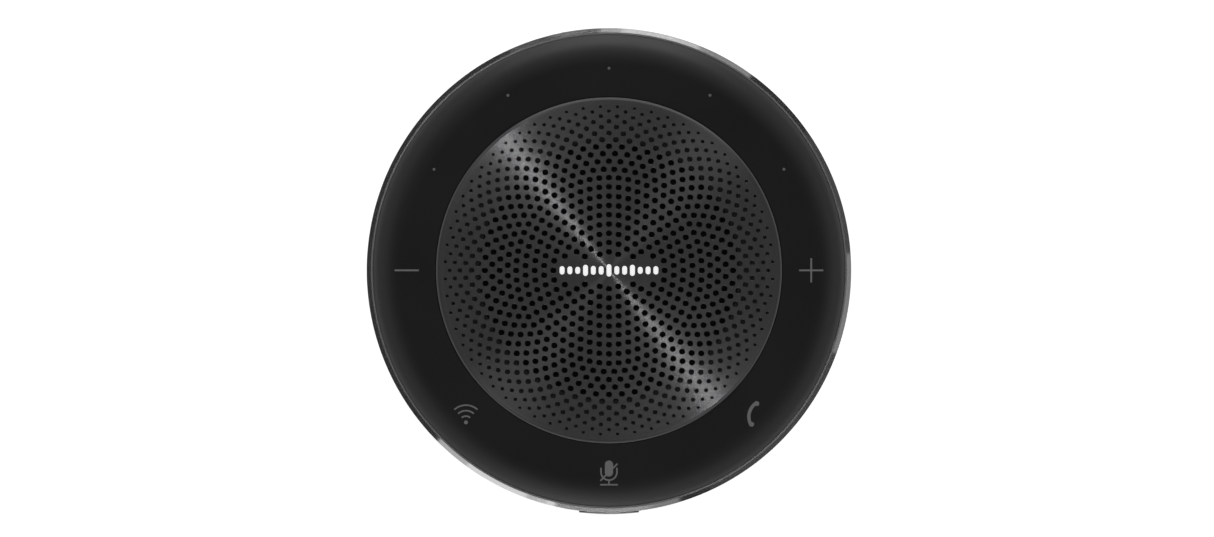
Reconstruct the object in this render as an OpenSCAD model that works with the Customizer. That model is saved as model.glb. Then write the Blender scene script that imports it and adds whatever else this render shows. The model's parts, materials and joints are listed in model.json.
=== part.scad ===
// Conference speakerphone: a round table-top puck with a touch-key ring, a perforated
// metal grille over one full-range driver, and an aluminium band round its side.
// Millimetres. The table is z = 0, +Z is up, and the power key faces -Y.

/* [Body] */
// Outer diameter of the aluminium side band at its widest
body_d = 124.3; // [123.6:0.1:125]
// Height of the touch ring's flat top above the table
cover_z = 33.6; // [33.4:0.1:34.6]
// Wall thickness of the plastic shells
wall = 2; // [1.8:0.1:2.1]
// Radius where the touch ring's flat top turns down
flat_r = 52.5; // [52.2:0.1:52.8]
// Radius of the turned-down edge's arc
dome_r = 10; // [9.8:0.1:10.2]
// How far the rubber foot stands below the case
foot_proud = 0.8; // [0.6:0.1:0.9]

/* [Grille] */
// Diameter of the grille plate
grille_d = 88.5; // [88:0.1:89]
// Thickness of the grille plate
grille_t = 0.8; // [0.6:0.1:1]
// Width of the bevel round the grille's edge
bevel_w = 0.8; // [0.5:0.1:1]
// Diameter of the holes in the inner rings
hole_d = 1.49; // [1.2:0.01:1.6]
// Distance between the inner hole rings
ring_pitch = 2.376; // [2.3:0.002:2.4]
// Number of hole rings
ring_count = 21; // [12:1:21]

/* [Power key] */
// Width of the power key's face
key_w = 14; // [13:0.1:14.5]
// Height of the power key's face
key_h = 5; // [4:0.1:5.2]
// How far the key's face stands out from the band
key_proud = 0.5; // [0.3:0.1:0.6]
// Height of the key's centre above the table
key_z = 17.8; // [17.7:0.05:17.9]
// How far the key is pressed
key_travel = 0.3; // [0.2:0.05:0.3]

/* [Driver] */
// Outer radius of the driver's cone
cone_r = 24.4; // [24.2:0.1:24.6]
// Inner radius of the voice coil's former
former_r = 8.3; // [8.2:0.05:8.4]

/* [Hidden] */
$fn = 96;

// Shells
body_r = body_d / 2;
cover_in_z = cover_z - wall;          // underside of the flat top
dome_z = cover_z - dome_r;            // centre of the edge arc
cover_edge_r = flat_r + 8;            // outer edge of the touch ring
flange_z = dome_z + 4.8;              // underside of the touch ring's edge
aperture_r = grille_d / 2 + 0.2;      // recess that holds the grille
ledge_r = 33;                         // opening under the grille
ledge_z = cover_z - 0.4;              // seat of the grille
case_r = 60.4;                        // widest radius of the bottom case
corner_r = 8.7;                       // bottom case's round lower edge
corner_x = case_r - corner_r;
case_top_z = foot_proud + corner_r;   // where the band starts
floor_z = foot_proud + wall;          // inside of the bottom case's floor
band_in_r = 59.3;
band_top_z = flange_z + 1.2;
band_lip_r = 60.95;                   // outer edge of the band's narrow flat top
chamfer_w = 1.1;                      // width of the polished chamfer, seen from above
chamfer_tilt = 42;                    // slope of the chamfer
band_foot_r = 61.3;                   // radius at the band's bottom edge
skirt_out_r = 59.1;                   // locating skirts inside the band
post_r = 47;                          // circle of the six case screws
foot_z = 1.6;                         // top of the foot ring, in its groove
groove = [43.3, 50.7];
post_foot_z = 5;

// Boards
board_z = [14.4, 16];
touch_z = [cover_in_z - 1.1, cover_in_z - 0.1];
post_angles = [for (i = [0:5]) 52.5 + 60 * i];
board_screw_r = 42;
board_screw_angles = [22.5, 142.5, 202.5, 322.5];
led_r = 51.7;
led_angles = [30:30:150];
mic_r = 40.5;
mic_angles = [30:60:330];
key_gap = 0.2;
bezel_w = 0.7;                        // how far the key's bezel reaches past its face

// Ports on the back, in the band
port_z = 18.1;
port_face_r = 61.9;
usb_x = -7.5;
usb_z = 17.63;
usb_w = 8.94;
usb_h = 3.26;
usb_mouth_y = 61.2;
jack_x = 8;
jack_z = 18.6;
jack_bore_r = 1.8;
jack_length = 14;

// Driver
flange_r = 38;
driver_z = 28.2;                      // top of the driver's flange
cone_z = 27;                          // underside of the cone's rim
neck_z = 22.4;                        // underside of the cone's neck
coil_r = former_r + 0.2;
neck_r = coil_r + 0.4;
cone_slope = (cone_z - neck_z) / (cone_r - 0.8 - neck_r);
cone_t = 0.4;
rim_t = cone_z + cone_t;
spider_z = 21.925;
yoke_z = [13.6, 20.1];
driver_screw_r = 32.5;
driver_screw_angles = [45:90:315];
lead_angle = 337.5;
lead_z = 24;
ribbon_angle = 142.5;

// Radius of hole ring k, the number of holes in it, its turn and its hole size
function hole_ring_r(k) = k <= 10
    ? ring_pitch * k
    : ring_pitch * 10 + (k - 10) * 2.145 - 0.099 * (k - 10) * (k - 11) / 2;
function hole_count(k) = min(6 * k, 60);
function hole_turn(k) = k > 10 && k % 2 == 1 ? 3 : 0;
function hole_size(k) = k <= 14 ? hole_d : hole_d - 0.07 * (k - 14) - 0.006 * pow(k - 14, 2);
// The middle of the plate stays whole under the mark
function under_mark(x, y) = abs(x) < 12.8 && abs(y) < 2.8;

// Points along an arc from angle a to angle b
function arc_points(r, a, b, n, x = 0, y = 0) =
    [for (i = [0:n]) let (t = a + (b - a) * i / n) [x + r * cos(t), y + r * sin(t)]];

module disc(r, z0, z1) {
    translate([0, 0, z0]) cylinder(r = r, h = z1 - z0);
}

module ring(r_in, r_out, z0, z1) {
    difference() {
        disc(r_out, z0, z1);
        disc(r_in, z0 - 1, z1 + 1);
    }
}

// Places children on a circle, with their +X pointing outwards
module at_polar(r, angle, z = 0) {
    translate([r * cos(angle), r * sin(angle), z]) rotate([0, 0, angle]) children();
}

// A box given by its lowest and highest corners
module block(low, high) {
    translate(low) cube(high - low);
}

module pill(w, h) {
    for (side = [-1, 1]) translate([side * (w - h) / 2, 0]) circle(d = h);
    square([w - h, h], center = true);
}

// A pill-shaped bar along Y, from y0 to y1
module pill_bar(w, h, y0, y1, x, z) {
    translate([x, y1, z]) rotate([90, 0, 0]) linear_extrude(height = y1 - y0) pill(w, h);
}

module rod_y(r, y0, y1, x, z) {
    translate([x, y1, z]) rotate([90, 0, 0]) cylinder(r = r, h = y1 - y0);
}

module round_plate(w, d, r, z0, z1) {
    translate([0, 0, z0]) linear_extrude(height = z1 - z0) {
        square([w - 2 * r, d], center = true);
        square([w, d - 2 * r], center = true);
        for (x = [-1, 1], y = [-1, 1]) translate([x * (w / 2 - r), y * (d / 2 - r)]) circle(r = r);
    }
}

// A curved stroke of even width
module arc_stroke(r, w, a, b) {
    polygon(concat(arc_points(r + w / 2, a, b, 14), arc_points(r - w / 2, b, a, 14)));
}

// --- Top ---------------------------------------------------------------------

module cover_profile() {
    translate([aperture_r, cover_in_z]) square([flat_r - aperture_r, wall]);
    translate([ledge_r, cover_in_z]) square([aperture_r - ledge_r, ledge_z - cover_in_z]);
    translate([skirt_out_r - 1.8, 24]) square([1.8, flange_z + 2.2 - 24]);
    difference() {
        intersection() {
            translate([flat_r, dome_z]) circle(r = dome_r);
            translate([flat_r, flange_z]) square([cover_edge_r - flat_r, dome_r]);
        }
        intersection() {
            translate([flat_r, dome_z]) circle(r = dome_r - wall);
            translate([flat_r, flange_z - 1]) square([cover_edge_r - flat_r, dome_r]);
        }
    }
}

module top_cover() {
    color([0.02, 0.02, 0.022])
    difference() {
        union() {
            rotate_extrude() cover_profile();
            ring(35.6, 37.4, driver_z + 0.5, cover_in_z + 0.2);
            for (a = post_angles) at_polar(post_r, a, post_foot_z)
                cylinder(r = 3.2, h = cover_in_z + 0.2 - post_foot_z);
        }
        for (a = post_angles) at_polar(post_r, a, post_foot_z - 1) cylinder(r = 1.15, h = 11);
        for (a = mic_angles) at_polar(mic_r, a, cover_in_z - 1) {
            cylinder(r = 0.5, h = 4);
            cylinder(r = 1.5, h = 1.6);
        }
        for (a = led_angles) at_polar(led_r, a, cover_in_z - 1) cylinder(r = 0.375, h = 4);
    }
}

module speaker_grille() {
    top = ledge_z + grille_t;
    r = grille_d / 2;
    color([0.16, 0.16, 0.165])
    difference() {
        rotate_extrude() polygon([
            [0, ledge_z], [r, ledge_z], [r, top - 0.25], [r - bevel_w, top], [0, top]
        ]);
        for (k = [1:ring_count], i = [0:hole_count(k) - 1]) {
            angle = 90 + hole_turn(k) + 360 * i / hole_count(k);
            x = hole_ring_r(k) * cos(angle);
            y = hole_ring_r(k) * sin(angle);
            if (!under_mark(x, y)) translate([x, y, ledge_z - 1])
                cylinder(d = hole_size(k), h = grille_t + 2, $fn = 24);
        }
    }
}

// A small sound-wave mark printed on the grille
module grille_mark() {
    bars = 6;
    pitch = 2;
    bar = [1.25, 1.3];      // a bar's width and its least height
    swell = 1.85;           // how much taller the middle bar is
    color("white") for (i = [-bars:bars]) {
        h = bar.y + swell * pow(cos(i * 8), 2) * abs(cos(i * 62));
        translate([i * pitch, 0, ledge_z + grille_t]) linear_extrude(height = 0.1)
            square([bar.x, h], center = true);
    }
}

module acoustic_mesh() {
    color([0.03, 0.03, 0.03]) disc(34.4, cover_in_z - 0.2, cover_in_z);
}

module minus_icon() {
    square([6.2, 0.45], center = true);
}

module plus_icon() {
    minus_icon();
    square([0.45, 6.2], center = true);
}

module wireless_icon() {
    translate([0, -2.3]) {
        circle(r = 0.5);
        for (r = [1.6, 3, 4.4]) arc_stroke(r, 0.4, 48, 132);
    }
}

module handset_icon() {
    rotate(-14) {
        translate([3.61, 0]) arc_stroke(4.3, 0.85, 134, 226);
        for (side = [-1, 1]) translate([0.68, 2.73 * side]) rotate(90 + 10 * side) pill(1.2, 1);
    }
}

module mute_icon() {
    translate([0, 1.05]) rotate(90) pill(4.1, 2.1);
    translate([0, 0.1]) {
        arc_stroke(2.03, 0.4, 180, 360);
        for (side = [-1, 1]) translate([2.03 * side, 0.55]) square([0.4, 1.2], center = true);
        rotate(45) square([6.2, 0.4], center = true);
    }
    translate([0, -2.5]) square([0.4, 0.9], center = true);
    translate([0, -3.1]) square([4.5, 0.4], center = true);
}

// A thin printed layer that follows the touch ring's top
module legend_layer() {
    ink = 0.04;
    rotate_extrude() {
        translate([aperture_r, cover_z]) square([flat_r - aperture_r, ink]);
        difference() {
            intersection() {
                translate([flat_r, dome_z]) circle(r = dome_r + ink);
                translate([flat_r, cover_z - 1]) square([4, 2]);
            }
            translate([flat_r, dome_z]) circle(r = dome_r);
        }
    }
}

module key_legends() {
    icon_r = 51.75;
    diagonal = icon_r * sqrt(0.5);
    color([0.4, 0.4, 0.4]) intersection() {
        legend_layer();
        translate([0, 0, cover_z - 2]) linear_extrude(height = 4) {
            translate([-icon_r, 0]) minus_icon();
            translate([icon_r, 0]) plus_icon();
            translate([-diagonal, -diagonal]) wireless_icon();
            translate([diagonal, -diagonal]) handset_icon();
            translate([0, -icon_r]) mute_icon();
        }
    }
}

module light_pipes() {
    color([0.5, 0.5, 0.5]) for (a = led_angles) at_polar(led_r, a, cover_in_z - 1) {
        cylinder(r = 0.375, h = wall + 1, $fn = 32);
        cylinder(r = 0.55, h = 1, $fn = 32);
    }
}

// --- Side and bottom ---------------------------------------------------------

// The band's outside is upright at the key and curves in a little above and below it
module band_profile() {
    low = case_top_z + 0.3;
    high = band_top_z - chamfer_w * tan(chamfer_tilt);
    top_r = band_lip_r + chamfer_w;
    r_up = (pow(high - key_z, 2) + pow(body_r - top_r, 2)) / (2 * (body_r - top_r));
    r_down = (pow(key_z - low, 2) + pow(body_r - band_foot_r, 2)) / (2 * (body_r - band_foot_r));
    up = asin((high - key_z) / r_up);
    polygon(concat(
        [[band_in_r, flange_z], [band_in_r, case_top_z], [band_foot_r - 0.3, case_top_z]],
        arc_points(r_down, -asin((key_z - low) / r_down), 0, 8, body_r - r_down, key_z),
        arc_points(r_up, up / 5, up, 4, body_r - r_up, key_z),
        [[band_lip_r, band_top_z], [cover_edge_r + 0.06, band_top_z], [cover_edge_r + 0.06, flange_z]]
    ));
}

module rim_band() {
    color([0.6, 0.6, 0.61])
    difference() {
        rotate_extrude() band_profile();
        pill_bar(key_w + 2 * bezel_w, key_h + 2 * bezel_w, -66, -55, 0, key_z);
        pill_bar(27, 8.2, 55, 66, 0, port_z);
    }
}

module case_profile() {
    difference() {
        union() {
            translate([0, foot_proud]) square([corner_x, wall]);
            difference() {
                intersection() {
                    translate([corner_x, case_top_z]) circle(r = corner_r);
                    translate([corner_x, foot_proud]) square([corner_r, corner_r]);
                }
                translate([corner_x, case_top_z]) circle(r = corner_r - wall);
            }
            translate([skirt_out_r - 1.9, case_top_z - 1.5]) square([1.9, 4.2]);
        }
        translate([groove[0], foot_proud - 1]) square([groove[1] - groove[0], foot_z - foot_proud + 1]);
    }
}

module bottom_case() {
    color([0.03, 0.03, 0.032])
    difference() {
        union() {
            rotate_extrude() case_profile();
            for (a = post_angles) at_polar(post_r, a, foot_z + 0.4)
                cylinder(r = 3.5, h = post_foot_z - foot_z - 0.4);
            for (a = board_screw_angles) at_polar(board_screw_r, a, floor_z - 0.5)
                cylinder(r = 2.4, h = board_z[0] - floor_z + 0.5);
            for (a = [60, 120, 240, 300]) at_polar(33, a, floor_z - 0.5)
                cylinder(r = 2.5, h = 11.4 - floor_z + 0.5);
            for (side = [-1, 1]) {
                block([side * 31.2 - 0.6, -12, floor_z - 0.5], [side * 31.2 + 0.6, -4, 6]);
                block([side * 31.2 - 0.6, 4, floor_z - 0.5], [side * 31.2 + 0.6, 12, 6]);
                block([-10, side * 23.2 - 0.6, floor_z - 0.5], [10, side * 23.2 + 0.6, 6]);
            }
        }
        for (a = post_angles) at_polar(post_r, a, 0) {
            cylinder(r = 2.2, h = 3.6);
            cylinder(r = 1.4, h = 8);
        }
        for (a = board_screw_angles) at_polar(board_screw_r, a, 8) cylinder(r = 0.9, h = 8);
    }
}

module foot_ring() {
    edge = 0.3;
    inner = groove[0] + 0.1;
    outer = groove[1] - 0.1;
    color([0.05, 0.05, 0.05]) rotate_extrude() polygon([
        [inner, foot_z], [inner, edge], [inner + edge, 0],
        [outer - edge, 0], [outer, edge], [outer, foot_z]
    ]);
}

// A pan-head screw with its head at z = 0 and its shank along +Z
module screw(head_r, head_h, shank_r, length) {
    difference() {
        cylinder(r = head_r, h = head_h);
        for (a = [0, 90]) rotate(a) translate([-head_r * 0.6, -0.25, -1]) cube([head_r * 1.2, 0.5, 1.6]);
    }
    translate([0, 0, head_h]) cylinder(r = shank_r, h = length);
}

module case_screws() {
    color("dimgray") for (a = post_angles) at_polar(post_r, a, 1.9) screw(2, 1.7, 1.1, 9.4);
}

// --- Loudspeaker -------------------------------------------------------------

module speaker_chamber() {
    wall_r = [36, flange_r];
    z = [11.4, cone_z];
    color([0.12, 0.12, 0.13])
    difference() {
        union() {
            ring(wall_r[0], wall_r[1], z[0], z[1]);
            disc(wall_r[0] + 0.5, z[0], z[0] + 1.6);
            for (a = driver_screw_angles) at_polar(driver_screw_r, a, z[0] + 1) {
                cylinder(r = 2.3, h = z[1] - z[0] - 1);
                translate([0.5, -0.8, 0]) cube([3.6, 1.6, z[1] - z[0] - 1]);
            }
        }
        for (a = driver_screw_angles) at_polar(driver_screw_r, a, 19) cylinder(r = 0.95, h = 12);
        at_polar(33, lead_angle, lead_z) rotate([0, 90, 0]) cylinder(r = 2.4, h = 7);
    }
}

module driver_gasket() {
    color([0.1, 0.1, 0.1]) ring(35, flange_r - 0.1, driver_z, driver_z + 0.5);
}

module driver_basket() {
    seat_r = 29.6;
    ledge = spider_z - 0.125;
    color([0.2, 0.2, 0.21])
    difference() {
        rotate_extrude() polygon([
            [10.2, yoke_z[1]], [16.5, yoke_z[1]], [30, 26.2], [30, cone_z], [flange_r, cone_z],
            [flange_r, driver_z], [seat_r, driver_z], [seat_r, rim_t], [27.8, rim_t],
            [27.8, 26.6], [19, ledge], [15.8, ledge], [15.8, 20.9], [10.2, 20.9]
        ]);
        for (a = [0:60:300]) rotate(a + 10) rotate_extrude(angle = 40)
            translate([19.6, 19]) square([6.6, 8]);
        for (a = driver_screw_angles) at_polar(driver_screw_r, a, cone_z - 1) cylinder(r = 1.2, h = 4);
    }
}

module driver_screws() {
    color("silver") for (a = driver_screw_angles) at_polar(driver_screw_r, a, driver_z + 1.3)
        mirror([0, 0, 1]) screw(1.9, 1.3, 0.9, 8);
}

module driver_terminals() {
    color("tan") rotate(lead_angle) block([30.2, -4.5, 22.6], [31.8, 4.5, cone_z]);
}

module yoke() {
    color("gray") {
        disc(12.6, yoke_z[0], yoke_z[0] + 1.5);
        ring(10, 12.6, yoke_z[0] + 1, yoke_z[1]);
    }
}

module magnet() {
    color("slategray") disc(7.2, yoke_z[0] + 1.5, 18.3);
}

module pole_plate() {
    color("gray") disc(former_r - 0.5, 18.3, yoke_z[1]);
}

module voice_coil() {
    color("chocolate") {
        ring(former_r, coil_r, 16.9, neck_z + 0.5);
        ring(former_r + 0.1, coil_r + 0.6, 17.2, 21.2);
    }
}

module driver_cone() {
    rim = cone_r - 0.8;
    top = neck_z + cone_t;
    color([0.15, 0.15, 0.15]) rotate_extrude() polygon([
        [coil_r, neck_z], [neck_r, neck_z], [rim, cone_z], [cone_r, cone_z], [cone_r, rim_t],
        [rim, rim_t], [neck_r, top], [neck_r, neck_z + 0.5],
        [coil_r, neck_z + 0.5]
    ]);
}

// A shallow dome whose rim stands on the cone
module dust_cap() {
    dome = 19.35;
    apex = 25.6;
    line_z = neck_z + cone_t - neck_r * cone_slope;
    color([0.12, 0.12, 0.12]) rotate_extrude() intersection() {
        difference() {
            translate([0, apex - dome]) circle(r = dome);
            translate([0, apex - dome]) circle(r = dome - 0.3);
        }
        polygon([[0, line_z], [12, line_z + 12 * cone_slope], [12, 30], [0, 30]]);
    }
}

module cone_surround() {
    middle = 25.85;
    roll = 1.7;
    t = 0.35;
    color([0.08, 0.08, 0.08]) rotate_extrude() {
        difference() {
            intersection() {
                translate([middle, rim_t]) circle(r = roll);
                translate([middle - roll, rim_t]) square([2 * roll, roll]);
            }
            translate([middle, rim_t]) circle(r = roll - t);
        }
        translate([23.7, rim_t]) square([middle - roll + 0.2 - 23.7, t]);
        translate([middle + roll - 0.2, rim_t]) square([29.4 - middle - roll + 0.2, t]);
    }
}

module spider() {
    waves = 3;
    inner = coil_r;
    outer = 15.8;
    steps = 24;
    t = 0.125;
    function wave_z(i) = spider_z + 0.25 * sin(360 * waves * i / steps);
    function wave_r(i) = inner + (outer - inner) * i / steps;
    color([0.75, 0.6, 0.35]) rotate_extrude() polygon(concat(
        [for (i = [0:steps]) [wave_r(i), wave_z(i) + t]],
        [[17.6, spider_z + t], [17.6, spider_z - t]],
        [for (i = [steps:-1:0]) [wave_r(i), wave_z(i) - t]]
    ));
}

// --- Boards ------------------------------------------------------------------

module touch_board() {
    color([0.05, 0.25, 0.15])
    difference() {
        ring(38, 53.6, touch_z[0], touch_z[1]);
        for (a = post_angles) at_polar(post_r, a, touch_z[0] - 1) cylinder(r = 3.6, h = 3);
        for (a = led_angles) at_polar(led_r, a, touch_z[0] - 1) cylinder(r = 0.6, h = 3);
        for (a = mic_angles) at_polar(mic_r, a, touch_z[0] - 1) cylinder(r = 0.4, h = 3);
    }
}

module status_leds() {
    color("white") for (a = led_angles) at_polar(led_r, a, touch_z[0] - 0.6)
        translate([-0.8, -0.8, 0]) cube([1.6, 1.6, 0.6]);
}

module microphones() {
    color("gold") for (a = mic_angles) at_polar(mic_r, a, touch_z[0] - 1)
        translate([-1.75, -1.35, 0]) cube([3.5, 2.7, 1]);
}

module mic_boots() {
    color([0.07, 0.07, 0.07]) for (a = mic_angles) at_polar(mic_r, a)
        ring(0.5, 1.4, touch_z[1], cover_in_z + 0.6);
}

module main_board() {
    color([0.05, 0.3, 0.18])
    difference() {
        ring(39, 55, board_z[0], board_z[1]);
        for (a = post_angles) at_polar(post_r, a, board_z[0] - 1) cylinder(r = 3.6, h = 4);
        for (a = board_screw_angles) at_polar(board_screw_r, a, board_z[0] - 1) cylinder(r = 1.1, h = 4);
    }
}

// A part soldered on the main board, given by its radial and tangential size
module on_board(angle, r, radial, tangential, h) {
    at_polar(r, angle, board_z[1]) translate([-radial / 2, -tangential / 2, 0])
        cube([radial, tangential, h]);
}

module audio_shield() {
    color("silver") on_board(202.5, 50.5, 7.5, 14, 2.4);
}

module wireless_module() {
    color([0.1, 0.2, 0.35]) on_board(22.5, 50.5, 7.5, 12, 2.2);
}

module power_chips() {
    color([0.1, 0.1, 0.1]) for (i = [-1:1]) on_board(322.5 + 9 * i, 50, 5, 5, i == 0 ? 2.4 : 1.2);
}

module board_screws() {
    color("silver") for (a = board_screw_angles) at_polar(board_screw_r, a, board_z[1] + 1.3)
        mirror([0, 0, 1]) screw(1.8, 1.3, 0.85, 7);
}

module ribbon_sockets() {
    color("ivory") for (z = [board_z[1], touch_z[0] - 1.2]) at_polar(49.9, ribbon_angle, z)
        translate([-1.4, -5.4, 0]) cube([2.8, 10.8, 1.2]);
}

module ribbon_cable() {
    color("sandybrown") rotate(ribbon_angle)
        block([49.8, -4.8, board_z[1] + 1.2], [50, 4.8, touch_z[0] - 1.2]);
}

// --- Ports -------------------------------------------------------------------

module usb_receptacle() {
    y0 = 53.8;
    shell = 0.3;
    color("silver")
    difference() {
        pill_bar(usb_w, usb_h, y0, usb_mouth_y, usb_x, usb_z);
        pill_bar(usb_w - 2 * shell, usb_h - 2 * shell, y0 + 1, usb_mouth_y + 1, usb_x, usb_z);
    }
}

module usb_tongue() {
    color([0.1, 0.1, 0.1]) block([usb_x - 3.35, 54.8, usb_z - 0.35], [usb_x + 3.35, 60.2, usb_z + 0.35]);
}

module audio_jack() {
    nose_y = usb_mouth_y;
    body_y = 57.3;
    color([0.06, 0.06, 0.06])
    difference() {
        union() {
            block([jack_x - 3.5, 45.2, board_z[1]], [jack_x + 3.5, body_y, 21.4]);
            rod_y(2.7, body_y - 1, nose_y, jack_x, jack_z);
        }
        rod_y(jack_bore_r, nose_y - jack_length, nose_y + 1, jack_x, jack_z);
    }
}

module port_bezel() {
    color([0.03, 0.03, 0.03])
    difference() {
        intersection() {
            pill_bar(27, 8.2, 57.5, 66, 0, port_z);
            disc(port_face_r, 0, 40);
        }
        pill_bar(usb_w + 0.4, usb_h + 0.4, 50, 66, usb_x, usb_z);
        rod_y(2.85, 50, 66, jack_x, jack_z);
    }
}

// --- Battery and wiring ------------------------------------------------------

module battery_pack() {
    color([0.7, 0.72, 0.74]) round_plate(60, 44, 3, floor_z + 0.4, 9.4);
}

module battery_foam() {
    color([0.2, 0.2, 0.2]) {
        block([-25, -18, floor_z], [25, 18, floor_z + 0.4]);
        block([-20, -14, 9.4], [20, 14, 11.4]);
    }
}

// A wire in the local XZ plane: out along +X, round a bend, then up or down
module bent_wire(r, x0, x1, z, end_z) {
    bend = 2;
    up = end_z > z ? 1 : -1;
    translate([x0, 0, z]) rotate([0, 90, 0]) cylinder(r = r, h = x1 - x0, $fn = 24);
    translate([x1, 0, z + up * bend]) mirror([0, 0, up > 0 ? 1 : 0]) rotate([90, 0, 0])
        rotate_extrude(angle = 90) translate([bend, 0]) circle(r = r, $fn = 24);
    translate([x1 + bend, 0, min(z + up * bend, end_z)])
        cylinder(r = r, h = abs(end_z - z) - bend, $fn = 24);
}

module battery_lead() {
    color("firebrick") for (y = [-0.9, 0.9]) translate([0, y, 0]) bent_wire(0.5, 30, 39.5, 6.3, 11.9);
}

module battery_plug() {
    color("ivory") block([39.1, -3, 11.9], [43.9, 3, board_z[0]]);
}

module speaker_leads() {
    color("firebrick") rotate(lead_angle) for (y = [-1.1, 1.1]) translate([0, y, 0])
        bent_wire(0.6, 31.8, 40, lead_z, board_z[1]);
}

module lead_grommet() {
    color([0.07, 0.07, 0.07]) rotate(lead_angle) translate([0, 0, lead_z])
    difference() {
        union() {
            translate([35.6, 0, 0]) rotate([0, 90, 0]) cylinder(r = 2.4, h = 2.8);
            translate([flange_r, 0, 0]) rotate([0, 90, 0]) cylinder(r = 3, h = 0.6);
        }
        for (y = [-1.1, 1.1]) translate([30, y, 0]) rotate([0, 90, 0]) cylinder(r = 0.6, h = 12);
    }
}

// --- Power key ---------------------------------------------------------------

module key_bezel() {
    color([0.02, 0.02, 0.02])
    difference() {
        pill_bar(key_w + 2 * bezel_w, key_h + 2 * bezel_w, -body_r, -57.5, 0, key_z);
        pill_bar(key_w + 2 * key_gap, key_h + 2 * key_gap, -66, -50, 0, key_z);
    }
}

module power_key() {
    color([0.7, 0.7, 0.71]) {
        intersection() {
            pill_bar(key_w, key_h, -66, -57, 0, key_z);
            disc(body_r + key_proud, 0, 40);
        }
        pill_bar(key_w + 1.4, key_h + 1.4, -57.35, -56.35, 0, key_z);
        rod_y(1.2, -57, -54.7, 0, key_z);
    }
}

module switch_plunger() {
    color("dimgray") rod_y(1, -54.65, -52.2, 0, key_z);
}

module tact_switch() {
    color([0.15, 0.15, 0.15])
    difference() {
        block([-3, -53.7, board_z[1]], [3, -49.5, 19.6]);
        rod_y(1.1, -56, -52.2 + key_travel + 0.2, 0, key_z);
    }
}

top_cover();
speaker_grille();
grille_mark();
acoustic_mesh();
key_legends();
light_pipes();
rim_band();
bottom_case();
foot_ring();
case_screws();
speaker_chamber();
driver_gasket();
driver_basket();
driver_screws();
driver_terminals();
yoke();
magnet();
pole_plate();
voice_coil();
driver_cone();
dust_cap();
cone_surround();
spider();
touch_board();
status_leds();
microphones();
mic_boots();
main_board();
audio_shield();
wireless_module();
power_chips();
usb_receptacle();
usb_tongue();
audio_jack();
port_bezel();
board_screws();
battery_pack();
battery_foam();
battery_lead();
battery_plug();
speaker_leads();
lead_grommet();
ribbon_cable();
ribbon_sockets();
key_bezel();
power_key();
switch_plunger();
tact_switch();
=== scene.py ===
import json
import math

import bmesh
import bpy
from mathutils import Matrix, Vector
from mathutils.geometry import delaunay_2d_cdt


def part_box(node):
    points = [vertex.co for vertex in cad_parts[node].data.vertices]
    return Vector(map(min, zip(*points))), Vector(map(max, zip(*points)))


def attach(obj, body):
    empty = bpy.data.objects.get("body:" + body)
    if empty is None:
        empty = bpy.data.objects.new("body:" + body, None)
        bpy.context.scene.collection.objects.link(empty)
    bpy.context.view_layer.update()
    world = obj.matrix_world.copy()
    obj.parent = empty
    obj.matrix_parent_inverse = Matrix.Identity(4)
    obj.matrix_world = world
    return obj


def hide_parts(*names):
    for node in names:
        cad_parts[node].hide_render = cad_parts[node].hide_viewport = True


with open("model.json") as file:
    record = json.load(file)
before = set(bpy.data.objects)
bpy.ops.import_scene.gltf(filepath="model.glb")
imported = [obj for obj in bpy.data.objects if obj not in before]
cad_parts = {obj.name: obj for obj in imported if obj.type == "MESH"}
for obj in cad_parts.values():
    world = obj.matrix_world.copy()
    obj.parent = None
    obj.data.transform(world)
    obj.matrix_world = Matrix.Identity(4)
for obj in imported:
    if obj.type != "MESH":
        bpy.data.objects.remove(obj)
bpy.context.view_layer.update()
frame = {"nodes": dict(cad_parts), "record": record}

# Visual model of a round conference speakerphone. Lengths are in millimetres until
# piece() turns them into metres. +Z is up, the ports face +Y and the power key faces -Y.
# The stage (floor, lights and camera) is in metres throughout.

MM = 0.001
COLUMNS = 288                          # columns of every large lathe
HOUSING = "housing"                    # the body that everything but the power key rides on


def box_mm(node):
    low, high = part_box(node)
    return low / MM, high / MM


# --- Dimensions ------------------------------------------------------------------

COVER_HIGH = box_mm("top_cover")[1]
BAND_LOW, BAND_HIGH = box_mm("rim_band")
KEY_LOW, KEY_HIGH = box_mm("power_key")
COVER_Z = round(COVER_HIGH.z, 2)       # the touch ring's flat top
COVER_R = round(COVER_HIGH.x, 1)       # its outer edge
BODY_R = round(20 * BAND_HIGH.x) / 20  # the band at its widest
BAND_TOP = round(BAND_HIGH.z, 2)
BAND_BOTTOM = round(BAND_LOW.z, 2)
KEY_Z = round((KEY_LOW.z + KEY_HIGH.z) / 2, 2)
GRILLE_Z = round(box_mm("speaker_grille")[1].z, 2)

FLAT_R = 52.5                          # where the flat top turns down
DOME_R = 10.0
DOME_Z = COVER_Z - DOME_R
APERTURE_R = 44.45                     # recess that holds the grille
LEDGE_Z = COVER_Z - 0.4
WALL = 2.0
CEILING_Z = COVER_Z - WALL             # underside of the touch ring
LEDGE_R = 33.0                         # opening under the grille
FLANGE_Z = DOME_Z + 4.8                # underside of the touch ring's edge
SKIRT_IN_R, SKIRT_OUT_R = 57.3, 59.1   # its locating skirt inside the band
SKIRT_Z = 24.0
POST_R = 47.0                          # circle of the screw posts
POST_ANGLES = [52.5 + 60 * i for i in range(6)]
PIPE_R, PIPE_HOLE_R = 51.7, 0.375      # circle of the light pipes, and their radius
PIPE_ANGLES = [30, 60, 90, 120, 150]
ICON_R = 51.75                         # circle of the touch icons

GRILLE_R, GRILLE_T = 44.25, 0.8
BEVEL_W, BEVEL_H = 0.8, 0.25

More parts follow.
